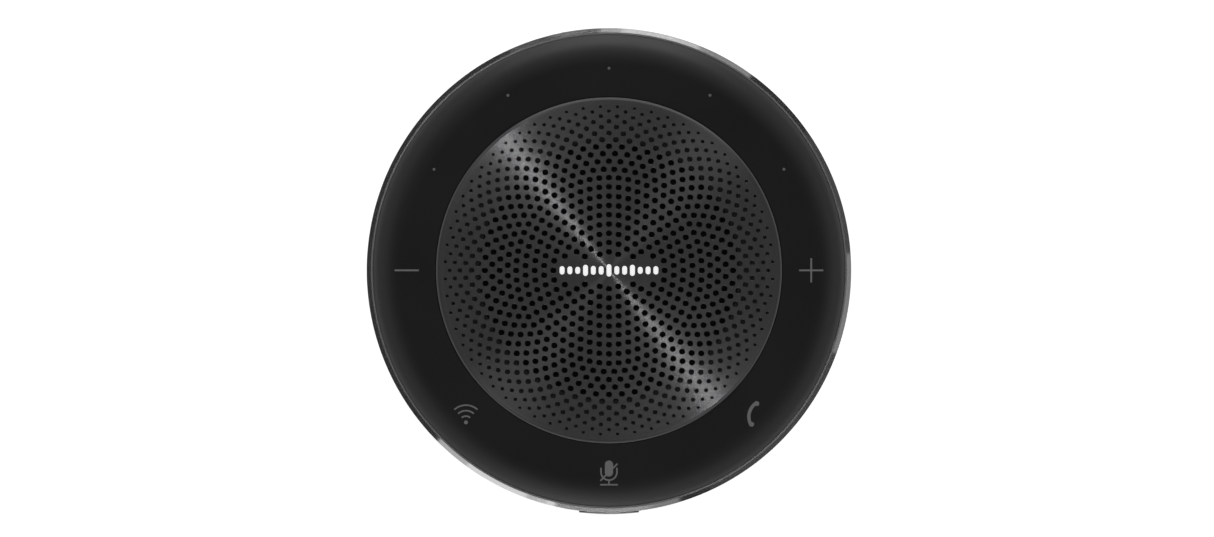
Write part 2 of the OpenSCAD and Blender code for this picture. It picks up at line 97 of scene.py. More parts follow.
BAND_IN_R = 59.3
LIP_IN_R, LIP_R = COVER_R + 0.03, 60.95    # the band's narrow flat top
CHAMFER_W, CHAMFER_TILT = 1.1, 42
CHAMFER_R = LIP_R + CHAMFER_W
CHAMFER_Z = BAND_TOP - CHAMFER_W * math.tan(math.radians(CHAMFER_TILT))
FOOT_EDGE_R = 61.3                     # the band's radius near its bottom edge
WALL_FOOT_Z = BAND_BOTTOM + 0.3        # where the bottom edge's rounding ends

KEY_W, KEY_H, KEY_R = 14.0, 5.0, BODY_R + 0.5
BEZEL_W, KEY_GAP = 0.7, 0.2
BEZEL_BACK = 57.5                      # how far from the middle both bezels start
PORT_W, PORT_H, PORT_Z, PORT_R = 27.0, 8.2, 18.1, 61.9
USB_X, USB_Z, USB_W, USB_H = -7.5, 17.63, 8.94, 3.26
JACK_X, JACK_Z, JACK_NOSE_R, JACK_BORE_R = 8.0, 18.6, 2.7, 1.8
JACK_HOLE_R = 2.85
MOUTH_Y = 61.2                         # mouths of both ports


# --- Outlines and profiles ---------------------------------------------------------

def arc(cx, cy, r, start, end, steps):
    """Points of an arc, angles in degrees from the first axis towards the second."""
    angles = [math.radians(start + (end - start) * i / steps) for i in range(steps + 1)]
    return [(cx + r * math.cos(t), cy + r * math.sin(t)) for t in angles]


def circle(r, count, cx=0.0, cy=0.0):
    return arc(cx, cy, r, 0, 360, count)[:-1]


def rounded(profile, steps=4):
    """Turns corners given as (r, z, radius) into arcs; plain (r, z) points stay."""
    points = []
    for i, corner in enumerate(profile):
        if len(corner) == 2:
            points.append(corner)
            continue
        here = Vector(corner[:2])
        back = (Vector(profile[i - 1][:2]) - here).normalized()
        ahead = (Vector(profile[(i + 1) % len(profile)][:2]) - here).normalized()
        half = back.angle(ahead) / 2
        reach = corner[2] / math.tan(half)
        centre = here + (back + ahead).normalized() * corner[2] / math.sin(half)
        first, last = here + back * reach - centre, here + ahead * reach - centre
        turn = math.pi - 2 * half
        for k in range(steps + 1):
            t = k / steps
            spoke = (first * math.sin((1 - t) * turn) + last * math.sin(t * turn)) / math.sin(turn)
            points.append(tuple(centre + spoke))
    return points


def pill(w, h, x=0.0, z=0.0, ends=24, run=20):
    """A pill's outline with a fixed number of points, so that two outlines pair up."""
    c = (w - h) / 2
    points = []
    for side, start in ((1, -90), (-1, 90)):
        points += arc(side * c, 0, h / 2, start, start + 180, ends)
        points += [(side * (c - 2 * c * k / run), side * h / 2) for k in range(1, run)]
    return [(x + px, z + pz) for px, pz in points]


def fill(loops, points):
    """Triangles inside the first loop and outside the others."""
    verts, faces = [], []
    for loop in loops:
        faces.append([len(verts) + i for i in range(len(loop))])
        verts += [Vector(p) for p in loop]
    verts += [Vector(p) for p in points]
    done = delaunay_2d_cdt(verts, [], faces, 2, 1e-5)
    return [tuple(v) for v in done[0]], [tuple(f) for f in done[2]]


def union(polygons, points):
    """Triangles of the area that any of the polygons covers, and its outer edges."""
    verts, faces = [], []
    for polygon in polygons:
        faces.append([len(verts) + i for i in range(len(polygon))])
        verts += [Vector(p) for p in polygon]
    verts += [Vector(p) for p in points]
    done = delaunay_2d_cdt(verts, [], faces, 1, 1e-5)
    triangles = [tuple(f) for f in done[2]]
    sides = {}
    for f in triangles:
        for a, b in zip(f, f[1:] + f[:1]):
            sides.setdefault((min(a, b), max(a, b)), []).append((a, b))
    return [tuple(v) for v in done[0]], triangles, [s[0] for s in sides.values() if len(s) == 1]


def subdivided(polygon, step):
    points = []
    for a, b in zip(polygon, polygon[1:] + polygon[:1]):
        count = max(1, math.ceil(math.dist(a, b) / step))
        points += [(a[0] + (b[0] - a[0]) * k / count, a[1] + (b[1] - a[1]) * k / count)
                   for k in range(count)]
    return points


def turned(points, angle, x=0.0, y=0.0):
    c, s = math.cos(math.radians(angle)), math.sin(math.radians(angle))
    return [(x + px * c - py * s, y + px * s + py * c) for px, py in points]


# --- Meshes ------------------------------------------------------------------------

class Shape:
    """Vertices in millimetres and faces with material numbers, for one piece."""

    def __init__(self):
        self.verts, self.faces, self.mats = [], [], []

    def add(self, verts, faces, mat=0):
        base = len(self.verts)
        self.verts += verts
        self.faces += [tuple(base + i for i in f) for f in faces]
        self.mats += [mat] * len(faces)

    def strip(self, rows, mat=0):
        """Quads between closed rows of the same length."""
        count = len(rows[0])
        faces = []
        for j in range(len(rows) - 1):
            for i in range(count):
                a, b = j * count + i, j * count + (i + 1) % count
                faces.append((a, b, b + count, a + count))
        self.add([v for row in rows for v in row], faces, mat)

    def lathe(self, profile, mat=0, count=COLUMNS, x=0.0, y=0.0):
        """A profile of (r, z) points turned about an upright axis at (x, y)."""
        self.strip([[(px, py, z) for px, py in circle(r, count, x, y)] for r, z in profile], mat)

    def sheet(self, loops, z):
        """A filled level area at one height."""
        verts, faces = fill(loops, ())
        self.add([(x, y, z) for x, y in verts], faces)

    def wall(self, loops, depth, points=(), mat=0):
        """A filled area in X and Z, at y = depth(x, z)."""
        verts, faces = fill(loops, points)
        self.add([(x, depth(x, z), z) for x, z in verts], faces, mat)

    def tube_y(self, rows, mat=0):
        """Quads between outlines in X and Z, each given with its depth(x, z)."""
        self.strip([[(x, depth(x, z), z) for x, z in outline] for outline, depth in rows], mat)


def piece(name, shape, materials, body, nodes=()):
    mesh = bpy.data.meshes.new(name)
    mesh.from_pydata([(x * MM, y * MM, z * MM) for x, y, z in shape.verts], [], shape.faces)
    for material in materials:
        mesh.materials.append(material)
    mesh.polygons.foreach_set("material_index", shape.mats)
    bm = bmesh.new()
    bm.from_mesh(mesh)
    bmesh.ops.remove_doubles(bm, verts=bm.verts, dist=1e-7)
    bmesh.ops.recalc_face_normals(bm, faces=bm.faces)
    bm.to_mesh(mesh)
    bm.free()
    mesh.shade_smooth()
    mesh.set_sharp_from_angle(angle=math.radians(30))
    obj = bpy.data.objects.new(name, mesh)
    bpy.context.scene.collection.objects.link(obj)
    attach(obj, body)
    if nodes:
        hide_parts(*nodes)
    return obj


# --- Materials ---------------------------------------------------------------------

class Nodes:
    """Short calls for a material's node tree."""

    def __init__(self, name):
        self.material = bpy.data.materials.new(name)
        self.material.use_nodes = True
        self.tree = self.material.node_tree
        self.shader = self.tree.nodes["Principled BSDF"]
        self.coord = self.tree.nodes.new("ShaderNodeTexCoord").outputs["Object"]

    def node(self, kind, inputs=(), **settings):
        node = self.tree.nodes.new(kind)
        for key, value in settings.items():
            setattr(node, key, value)
        for key, value in dict(inputs).items():
            if isinstance(value, bpy.types.NodeSocket):
                self.tree.links.new(value, node.inputs[key])
            else:
                node.inputs[key].default_value = value
        return node

    def math(self, operation, *values):
        return self.node("ShaderNodeMath", enumerate(values), operation=operation).outputs[0]

    def noise(self, scale, detail, vector=None, roughness=0.5):
        return self.node("ShaderNodeTexNoise", {
            "Vector": vector or self.coord, "Scale": scale, "Detail": detail, "Roughness": roughness,
        }).outputs["Fac"]

    def span(self, value, low, high, frm=(0.3, 0.7)):
        return self.node("ShaderNodeMapRange", {
            "Value": value, "From Min": frm[0], "From Max": frm[1], "To Min": low, "To Max": high,
        }).outputs["Result"]

    def mix(self, factor, a, b):
        return self.node("ShaderNodeMix", {0: factor, 6: (*a, 1), 7: (*b, 1)}, data_type="RGBA").outputs[2]

    def bump(self, height, distance):
        return self.node("ShaderNodeBump", {"Height": height, "Distance": distance}).outputs["Normal"]

    def blend(self, a, b, share):
        """Two values added, the first with its share and the second with the rest."""
        return self.math("ADD", self.math("MULTIPLY", a, share), self.math("MULTIPLY", b, 1 - share))

    def stretched(self, x, y, z):
        """Object coordinates scaled apart, for brushing along one axis."""
        return self.node("ShaderNodeVectorMath", {0: self.coord, 1: (x, y, z)},
                         operation="MULTIPLY").outputs[0]

    def spun(self, across, along):
        """Coordinates that change fast with the radius and slowly round the Z axis."""
        flat = self.stretched(1, 1, 0)
        radius = self.node("ShaderNodeVectorMath", {0: flat}, operation="LENGTH").outputs["Value"]
        turn = self.node("ShaderNodeVectorMath", {0: flat}, operation="NORMALIZE").outputs[0]
        parts = self.node("ShaderNodeSeparateXYZ", {0: turn}).outputs
        return self.node("ShaderNodeCombineXYZ", {
            0: self.math("MULTIPLY", parts[0], along),
            1: self.math("MULTIPLY", parts[1], along),
            2: self.math("MULTIPLY", radius, across),
        }).outputs[0]

    def set(self, **sockets):
        for key, value in sockets.items():
            socket = self.shader.inputs[key.replace("_", " ")]
            if isinstance(value, bpy.types.NodeSocket):
                self.tree.links.new(value, socket)
            else:
                socket.default_value = value
        return self.material


MIDDLE = (0.35, 0.65)  # the range that most of a noise lies in


def tinted(colour, factor):
    return tuple(min(1.0, c * factor) for c in colour)


def moulded(name, colour, rough, texture, depth, **extra):
    """Moulded plastic or rubber: spark-eroded texture, with faint wear in its gloss."""
    n = Nodes(name)
    spread = 0.06
    smudge = n.noise(45, 4)
    fine = n.noise(texture, 3, roughness=0.6)
    return n.set(
        Base_Color=n.mix(n.span(n.noise(160, 3), 0, 1), tinted(colour, 0.93), tinted(colour, 1.07)),
        Roughness=n.span(n.blend(smudge, fine, 0.7), rough - spread, rough + spread),
        Normal=n.bump(fine, depth),
        **extra)


def sheet_metal(name, colour, rough, grain, depth=4e-6):
    """Metal with a brushed or blasted grain: its density along X, Y and Z."""
    n = Nodes(name)
    lines = n.noise(4, 3, n.stretched(*grain))
    uneven = n.blend(lines, n.noise(70, 4), 0.5)
    spread = 0.06
    return n.set(
        Base_Color=n.mix(n.span(uneven, 0, 1, MIDDLE), tinted(colour, 0.92), tinted(colour, 1.06)),
        Metallic=1.0,
        Roughness=n.span(uneven, rough - spread, rough + spread, MIDDLE),
        Normal=n.bump(lines, depth))


def printed(name, colour, rough, painted_glow=0.0):
    """A thin layer of ink: slightly uneven, with a fine screen grain. Its glow is painted light: the ink
    emits light though it is no lamp.
    """
    n = Nodes(name)
    grain = n.noise(5200, 2)
    return n.set(
        Base_Color=n.mix(n.span(n.noise(900, 3), 0, 1), tinted(colour, 0.96), tinted(colour, 1.03)),
        Roughness=n.span(grain, rough - 0.05, rough + 0.05),
        Normal=n.bump(grain, 3e-6),
        Emission_Color=(1, 1, 1, 1),
        Emission_Strength=painted_glow)


def spun_metal(name, colour, rough, anisotropy, depth):
    """Metal turned on a lathe: grooves round the Z axis that spread light outwards."""
    n = Nodes(name)
    grooves = n.noise(1, 3, n.spun(9000, 1.6))
    bands = n.noise(1, 2, n.spun(900, 0.8))
    wear = n.noise(40, 2)
    tangent = n.node("ShaderNodeTangent", direction_type="RADIAL", axis="Z").outputs[0]
    tone = n.span(n.blend(grooves, bands, 0.6), 0, 1, MIDDLE)
    spread = 0.01
    return n.set(
        Base_Color=n.mix(tone, tinted(colour, 0.94), tinted(colour, 1.06)),
        Metallic=1.0,
        Roughness=n.span(n.blend(bands, wear, 0.5), rough - spread, rough + spread),
        Anisotropic=anisotropy,
        Anisotropic_Rotation=0.25,
        Tangent=tangent,
        Normal=n.bump(bands, depth))


def cloth(name, colour, pitch, depth):
    """Woven cloth or mesh: two crossed sets of threads."""
    n = Nodes(name)
    threads = [n.node("ShaderNodeTexWave", {"Vector": n.coord, "Scale": pitch, "Distortion": 0.3},
                      bands_direction=axis).outputs["Fac"] for axis in "XY"]
    weave = n.math("MAXIMUM", *threads)
    return n.set(
        Base_Color=n.mix(weave, tinted(colour, 0.6), colour),
        Roughness=n.span(weave, 0.95, 0.8, (0, 1)),
        Sheen_Weight=0.2,
        Normal=n.bump(weave, depth))


COVER = moulded("cover_satin", (0.003, 0.003, 0.0032), 0.42, 4200, 4e-6, Specular_IOR_Level=0.45)
CASE = moulded("case_matt", (0.014, 0.014, 0.015), 0.6, 2600, 1.2e-5)
BEZEL = moulded("bezel_black", (0.004, 0.004, 0.0043), 0.55, 4200, 4e-6, Specular_IOR_Level=0.25)
RUBBER = moulded("foot_rubber", (0.018, 0.018, 0.018), 0.82, 1800, 1e-5)
GRILLE = spun_metal("grille_spun", (0.385, 0.385, 0.39), 0.148, 1.0, 5e-8)
GRILLE_EDGE = spun_metal("grille_bevel", (0.16, 0.16, 0.165), 0.2, 0.3, 4e-7)
# near-black walls for the metal plate's holes: painted shade in the holes, not the plate's own metal
GRILLE_HOLE_SHADE = moulded("grille_hole_painted_shade", (0.02, 0.02, 0.02), 0.55, 5200, 2e-6)
# the mark's ink also emits light (strength 0.45): a painted glow, as the mark is no lamp
MARK = printed("mark_white", (0.9, 0.9, 0.9), 0.5, 0.45)
LEGEND = printed("legend_grey", (0.19, 0.19, 0.19), 0.5)
PIPE = moulded("pipe_smoked", (0.16, 0.16, 0.165), 0.3, 5200, 1e-6)
BAND = sheet_metal("band_blasted", (0.5, 0.5, 0.51), 0.34, (700, 700, 700), 8e-6)
CHAMFER = spun_metal("band_cut", (0.8, 0.8, 0.805), 0.08, 0.3, 1e-7)
LIP = spun_metal("band_lip", (0.68, 0.68, 0.685), 0.26, 0.3, 3e-7)
KEY = sheet_metal("key_brushed", (0.6, 0.6, 0.61), 0.3, (60, 900, 900), 4e-6)
STEEL = sheet_metal("port_steel", (0.55, 0.55, 0.56), 0.28, (500, 500, 500), 3e-6)
GOLD = sheet_metal("contact_gold", (0.72, 0.5, 0.2), 0.25, (600, 600, 600), 1e-6)
TONGUE = moulded("tongue_black", (0.012, 0.012, 0.012), 0.5, 5200, 2e-6)

# Finishes of the CAD nodes that stay, by the record's material slot
SLOT_FINISH = {
    "case_plastic": CASE,
    "foot_rubber": RUBBER,
    "mesh_cloth": cloth("acoustic_weave", (0.01, 0.01, 0.01), 1600, 3e-5),
    "screw_steel": sheet_metal("screw_zinc", (0.4, 0.4, 0.42), 0.32, (400, 400, 400)),
    "chamber_plastic": moulded("chamber_black", (0.03, 0.03, 0.032), 0.55, 2400, 1e-5),
    "gasket_foam": moulded("foam_black", (0.03, 0.03, 0.03), 0.9, 900, 8e-5),
    "basket_steel": sheet_metal("basket_pressed", (0.32, 0.32, 0.33), 0.4, (300, 300, 300)),
    "terminal_board": moulded("phenolic_tan", (0.4, 0.27, 0.12), 0.5, 1500, 8e-6),
    "magnet_metal": sheet_metal("magnet_nickel", (0.38, 0.38, 0.4), 0.25, (250, 250, 250)),
    "coil_copper": sheet_metal("coil_winding", (0.6, 0.28, 0.12), 0.3, (20, 20, 4000), 2e-5),
    "cone_paper": moulded("cone_pulp", (0.03, 0.03, 0.03), 0.75, 1400, 3e-5),
    "surround_rubber": moulded("surround_black", (0.02, 0.02, 0.02), 0.6, 2200, 6e-6),
    "spider_cloth": cloth("spider_weave", (0.5, 0.36, 0.16), 900, 6e-5),
    "board_laminate": moulded("board_green", (0.012, 0.09, 0.045), 0.35, 1600, 6e-6),
    "led_body": moulded("led_white", (0.75, 0.75, 0.72), 0.3, 3000, 2e-6),
    "mic_metal": sheet_metal("mic_can", (0.7, 0.52, 0.25), 0.28, (300, 300, 300)),
    "shield_metal": sheet_metal("shield_tin", (0.6, 0.6, 0.61), 0.3, (200, 900, 200)),
    "chip_plastic": moulded("chip_black", (0.02, 0.02, 0.02), 0.55, 2600, 6e-6),
    "battery_foil": sheet_metal("battery_pouch", (0.55, 0.56, 0.58), 0.4, (120, 120, 120), 2e-5),
    "wire_jacket": moulded("wire_red", (0.3, 0.02, 0.02), 0.4, 1800, 6e-6),
    "socket_plastic": moulded("socket_ivory", (0.65, 0.6, 0.46), 0.45, 1800, 6e-6),
    "ribbon_film": moulded("ribbon_amber", (0.5, 0.24, 0.05), 0.3, 1500, 4e-6),
}


# --- Touch ring ----------------------------------------------------------------------

def cover_height(x, y):
    r = math.hypot(x, y)
    return COVER_Z if r <= FLAT_R else DOME_Z + math.sqrt(DOME_R ** 2 - (r - FLAT_R) ** 2)


def polar(r, degrees):
    return r * math.cos(math.radians(degrees)), r * math.sin(math.radians(degrees))


def make_cover():
    inner_r, outer_r = APERTURE_R + 0.5, FLAT_R - 0.25
    dome = arc(FLAT_R, DOME_Z, DOME_R, 90, math.degrees(math.acos((COVER_R - FLAT_R) / DOME_R)), 40)
    vault = DOME_R - WALL
    vault_edge = math.degrees(math.acos((SKIRT_IN_R - FLAT_R) / vault))
    under = arc(FLAT_R, DOME_Z, vault, vault_edge, 90, 16)
    rib_in, rib_out, rib_z = 35.6, 37.4, 28.7
    profile = [(outer_r, COVER_Z)] + dome[:-1] + rounded([
        (*dome[-1], 0.05), (COVER_R, FLANGE_Z, 0.15), (SKIRT_OUT_R, FLANGE_Z),
        (SKIRT_OUT_R, SKIRT_Z, 0.2), (SKIRT_IN_R, SKIRT_Z, 0.2), under[0]]) + under[1:] + rounded([
        (rib_out, CEILING_Z), (rib_out, rib_z, 0.15), (rib_in, rib_z, 0.15), (rib_in, CEILING_Z),
        (LEDGE_R, CEILING_Z, 0.2), (LEDGE_R, LEDGE_Z, 0.2), (APERTURE_R, LEDGE_Z),
        (APERTURE_R, COVER_Z, 0.12), (inner_r, COVER_Z)])
    shape = Shape()
    shape.lathe(profile)
    edge, hole_sides, hole_depth = 0.03, 24, 1.6
    holes = [circle(PIPE_HOLE_R + edge, hole_sides, *polar(PIPE_R, a)) for a in PIPE_ANGLES]
    shape.sheet([circle(outer_r, COLUMNS), circle(inner_r, COLUMNS)] + holes, COVER_Z)
    for a in PIPE_ANGLES:
        x, y = polar(PIPE_R, a)
        shape.lathe([(PIPE_HOLE_R + edge, COVER_Z), (PIPE_HOLE_R, COVER_Z - edge),
                     (PIPE_HOLE_R, COVER_Z - hole_depth), (0, COVER_Z - hole_depth)], 0, hole_sides, x, y)
    bore_r, bore_top, post_r, foot = 1.15, 16, 3.2, 5
    for a in POST_ANGLES:
        x, y = polar(POST_R, a)
        shape.lathe(rounded([(0, bore_top), (bore_r, bore_top), (bore_r, foot, 0.15), (post_r, foot, 0.3),
                             (post_r, CEILING_Z + 0.1), (0, CEILING_Z + 0.1)]), 0, 40, x, y)
    return piece("touch_ring", shape, [COVER], HOUSING, ["top_cover"])


def make_pipes():
    shape = Shape()
    gap, sunk, bulge, length, steps = 0.01, 0.02, 0.05, 1.5, 6
    r, low = PIPE_HOLE_R - gap, COVER_Z - length
    crown = [(r * math.cos(t), COVER_Z - sunk + bulge * math.sin(t))
             for t in (math.radians(90 * k / steps) for k in range(steps + 1))]
    for a in PIPE_ANGLES:
        shape.lathe([(0, low), (r, low)] + crown, 0, 24, *polar(PIPE_R, a))
    return piece("light_pipe_dots", shape, [PIPE], HOUSING, ["light_pipes"])


def stroke(r, w, a, b):
    return arc(0, 0, r + w / 2, a, b, 24) + arc(0, 0, r - w / 2, b, a, 24)


def bar(w, h, x=0.0, y=0.0):
    return [(x - w / 2, y - h / 2), (x + w / 2, y - h / 2), (x + w / 2, y + h / 2), (x - w / 2, y + h / 2)]


def icons():
    """The five touch keys' icons as (polar angle, polygons)."""
    size, bold, thin = 6.2, 0.45, 0.4
    minus = [bar(size, bold)]
    plus = minus + [bar(bold, size)]
    wireless = [turned(p, 0, 0, -2.3) for p in
                [circle(0.5, 24)] + [stroke(r, thin, 48, 132) for r in (1.6, 3, 4.4)]]
    handset = [turned(p, -14) for p in
               [turned(stroke(4.3, 0.85, 134, 226), 0, 3.61, 0)]
               + [turned(pill(1.2, 1), 90 + 10 * side, 0.68, 2.73 * side) for side in (-1, 1)]]
    cradle = 2.03
    mute = [turned(pill(4.1, 2.1), 90, 0, 1.05), turned(stroke(cradle, thin, 180, 360), 0, 0, 0.1),
            bar(thin, 1.2, cradle, 0.65), bar(thin, 1.2, -cradle, 0.65),
            turned(bar(size, thin), 45, 0, 0.1), bar(thin, 0.9, 0, -2.5), bar(4.5, thin, 0, -3.1)]
    return [(180, minus), (0, plus), (225, wireless), (315, handset), (270, mute)]


def make_legends():
    ink, sunk, step = 0.04, 0.02, 0.3
    shape = Shape()
    for angle, polygons in icons():
        cx, cy = polar(ICON_R, angle)
        moved = [subdivided(turned(p, 0, cx, cy), step) for p in polygons]
        grid = [(cx + step * i, cy + step * j) for i in range(-12, 13) for j in range(-12, 13)]
        verts, faces, edges = union(moved, grid)
        top = [(x, y, cover_height(x, y) + ink) for x, y in verts]
        low = [(x, y, cover_height(x, y) - sunk) for x, y in verts]
        count = len(verts)
        shape.add(top + low, faces + [tuple(count + i for i in f[::-1]) for f in faces]
                  + [(a, b, b + count, a + count) for a, b in edges])
    return piece("touch_icons", shape, [LEGEND], HOUSING, ["key_legends"])


# --- Grille --------------------------------------------------------------------------

def grille_holes():
    """Every hole as (x, y, radius), in rings that spread and shrink outwards."""
    pitch, size, rings = 2.376, 1.49, 21
    even, full = 10, 14                # last ring of the even pitch, and of the full hole size
    blank_x, blank_y = 12.8, 2.8       # half sizes of the blank field behind the mark
    holes = []
    for k in range(1, rings + 1):
        out = max(0, k - even)
        r = pitch * min(k, even) + out * 2.145 - 0.099 * out * (out - 1) / 2
        past = max(0, k - full)
        d = size - 0.07 * past - 0.006 * past ** 2
        count = 6 * min(k, even)
        turn = 180 / count if k > even and k % 2 else 0
        for i in range(count):
            x, y = polar(r, 90 + turn + 360 * i / count)
            if abs(x) >= blank_x or abs(y) >= blank_y:
                holes.append((x, y, d / 2))
    return holes


def make_grille():
    edge, sides = 0.07, 18
    low, flat_r = GRILLE_Z - GRILLE_T, GRILLE_R - BEVEL_W
    shape = Shape()
    holes = grille_holes()
    loops = [circle(flat_r, COLUMNS)] + [circle(r + edge, sides, x, y) for x, y, r in holes]
    verts, faces = fill(loops, circle(flat_r - edge, COLUMNS))
    shape.add([(x, y, GRILLE_Z) for x, y in verts], faces)
    shape.add([(x, y, low) for x, y in verts], faces)
    for x, y, r in holes:
        rows = [(r + edge, GRILLE_Z), (r, GRILLE_Z - edge), (r, low + edge), (r + edge, low)]
        shape.lathe(rows[:2], 1, sides, x, y)
        # the walls inside the holes take the near-black finish: painted shade
        shape.lathe(rows[1:], 2, sides, x, y)
    rim = [(flat_r, GRILLE_Z), (GRILLE_R, GRILLE_Z - BEVEL_H, 0.1), (GRILLE_R, low, 0.1), (flat_r, low)]
    shape.lathe(rounded(rim, 3), 1)
    return piece("grille_plate", shape, [GRILLE, GRILLE_EDGE, GRILLE_HOLE_SHADE], HOUSING,
                 ["speaker_grille"])


def make_mark():
    """Thirteen round-ended bars like a sound wave, in raised ink."""
    shape = Shape()
    ink, pitch, width = 0.1, 2, 1.25
    for i in range(-6, 7):
        h = 1.3 + 1.85 * math.cos(math.radians(i * 8)) ** 2 * abs(math.cos(math.radians(i * 62)))
        centre = (pitch * i, 0)
        rows = []
        for z, inset in ((0, 0), (ink * 0.6, 0), (ink * 0.9, 0.03), (ink, 0.08)):
            inner = turned(pill(h - 2 * inset, width - 2 * inset, ends=12, run=4), 90, *centre)
            rows.append([(x, y, GRILLE_Z + z) for x, y in inner])
        shape.strip(rows)
        for row in (rows[0], rows[-1]):
            shape.add(row, [tuple(range(len(row)))])
    return piece("wave_mark", shape, [MARK], HOUSING, ["grille_mark"])


# --- Side band -----------------------------------------------------------------------

def band_radius(z):
    """The band is widest at the key's height and curves in above and below it."""
    end_z, end_r = (CHAMFER_Z, CHAMFER_R) if z > KEY_Z else (WALL_FOOT_Z, FOOT_EDGE_R)
    drop = BODY_R - end_r
    r = ((end_z - KEY_Z) ** 2 + drop ** 2) / (2 * drop)
    return BODY_R - r + math.sqrt(r ** 2 - (z - KEY_Z) ** 2)


def band_wall(shape, radius, low, high, rows, cuts):
    """The band's wall, unrolled, cut out and rolled up again. Each cut is its angle and outline."""
    unit = BODY_R * 2 * math.pi / COLUMNS
    loops = []
    for centre, outline in cuts:
        start, turn = math.radians(centre), math.copysign(1, 180 - centre)
        loops.append([(BODY_R * (start - turn * math.asin(x / radius(z))), z) for x, z in outline])
    heights = [low + (high - low) * k / rows for k in range(rows + 1)]
    length = unit * COLUMNS
    border = ([(unit * i, low) for i in range(COLUMNS)] + [(length, z) for z in heights[:-1]]
              + [(unit * i, high) for i in range(COLUMNS, 0, -1)] + [(0, z) for z in heights[:0:-1]])
    grid = [(unit * i, z) for z in heights[1:-1] for i in range(1, COLUMNS)]
    verts, faces = fill([border] + loops, [p for p in grid if all(clear_of(p, loop) for loop in loops)])
    shape.add([(*polar(radius(z), math.degrees(s / BODY_R)), z) for s, z in verts], faces)


def clear_of(point, loop):
    """True outside the loop's box and not close to its points."""
    gap = 0.45
    xs, zs = [p[0] for p in loop], [p[1] for p in loop]
    within = min(xs) < point[0] < max(xs) and min(zs) < point[1] < max(zs)
    return not within and min(math.dist(point, p) for p in loop) > gap


def make_band():
    shape = Shape()
    edge, fine = 0.12, 36
    key_cut, port_cut = (KEY_W + 2 * BEZEL_W, KEY_H + 2 * BEZEL_W, KEY_Z), (PORT_W, PORT_H, PORT_Z)
    cuts = []
    for angle, (w, h, z) in ((270, key_cut), (90, port_cut)):
        wide = pill(w + 2 * edge, h + 2 * edge, 0, z, fine, fine)
        cuts.append((angle, wide, pill(w, h, 0, z, fine, fine)))
    band_wall(shape, band_radius, WALL_FOOT_Z, CHAMFER_Z, 16, [(angle, wide) for angle, wide, hole in cuts])
    band_wall(shape, lambda z: BAND_IN_R, BAND_BOTTOM, FLANGE_Z, 8,
              [(angle, hole) for angle, wide, hole in cuts])
    for angle, wide, hole in cuts:
        side = 1 if angle == 90 else -1

        def skin(x, z, inset=0.0):
            return side * (math.sqrt(band_radius(z) ** 2 - x ** 2) - inset)
        shape.tube_y([(wide, skin), (hole, lambda x, z: skin(x, z, edge)),
                      (hole, on_cylinder(BAND_IN_R, side))])
    shape.lathe([(CHAMFER_R, CHAMFER_Z), (LIP_R, BAND_TOP)], 1)
    shape.lathe([(LIP_R, BAND_TOP), (LIP_IN_R, BAND_TOP)], 2)
    shape.lathe([(LIP_IN_R, BAND_TOP), (LIP_IN_R, FLANGE_Z), (BAND_IN_R, FLANGE_Z)])
    shape.lathe([(FOOT_EDGE_R, WALL_FOOT_Z), (FOOT_EDGE_R - 0.09, BAND_BOTTOM + 0.09),
                 (FOOT_EDGE_R - 0.3, BAND_BOTTOM), (BAND_IN_R, BAND_BOTTOM)])
    return piece("side_band", shape, [BAND, CHAMFER, LIP], HOUSING, ["rim_band"])


# --- Power key and ports ---------------------------------------------------------------

def on_cylinder(r, side, inset=0.0):
    """Depth of a face that follows a cylinder about the Z axis."""
    return lambda x, z: side * (math.sqrt(r ** 2 - x ** 2) - inset)


def at_depth(y):
    return lambda x, z: y


def face_grid(w, h, x, z):
    """Points inside a pill, clear of its edge."""
    step = 0.6
    c, r = (w - h) / 2, h / 2 - step * 0.6
    grid = []
    for i in range(-int(w / 2 / step), int(w / 2 / step) + 1):
        for j in range(-int(h / 2 / step), int(h / 2 / step) + 1):
            px, pz = i * step, j * step
            if math.hypot(max(0, abs(px) - c), pz) < r:
                grid.append((x + px, z + pz))
    return grid


def make_key():
    shape = Shape()
    soft, steps = 0.35, 6
    rows = []
    for k in range(steps + 1):
        t = math.radians(90 * k / steps)
        inset = soft * (1 - math.sin(t))
        rows.append((pill(KEY_W - 2 * inset, KEY_H - 2 * inset, 0, KEY_Z),
                     on_cylinder(KEY_R, -1, soft * (1 - math.cos(t)))))
    flange = pill(KEY_W + 1.4, KEY_H + 1.4, 0, KEY_Z)
    flange_front, flange_back, stem_end = at_depth(-57.35), at_depth(-56.35), at_depth(-54.7)
    rows += [(pill(KEY_W, KEY_H, 0, KEY_Z), flange_front), (flange, flange_front), (flange, flange_back)]
    shape.tube_y(rows)
    shape.wall([rows[0][0]], on_cylinder(KEY_R, -1),
               face_grid(KEY_W - 2 * soft, KEY_H - 2 * soft, 0, KEY_Z))
    stem, tip = circle(1.2, 32, 0, KEY_Z), circle(1.1, 32, 0, KEY_Z)
    shape.wall([flange, stem], flange_back)
    shape.tube_y([(stem, flange_back), (stem, at_depth(-54.8)), (tip, stem_end)])
    shape.wall([tip], stem_end)
    return piece("power_button", shape, [KEY], "power_key", ["power_key"])


def make_key_bezel():
    """Flat in front, so that its ends stand proud of the round band."""
    shape = Shape()
    lip, back, front = 0.12, -BEZEL_BACK, -BODY_R
    rows = [(pill(KEY_W + 2 * grow, KEY_H + 2 * grow, 0, KEY_Z), at_depth(y)) for grow, y in (
        (BEZEL_W, back), (BEZEL_W, front + lip), (BEZEL_W - lip / 4, front + lip / 3),
        (BEZEL_W - lip, front), (KEY_GAP + lip / 2, front), (KEY_GAP, front + lip / 2), (KEY_GAP, back))]
    shape.tube_y(rows + rows[:1])
    return piece("key_surround", shape, [BEZEL], HOUSING, ["key_bezel"])


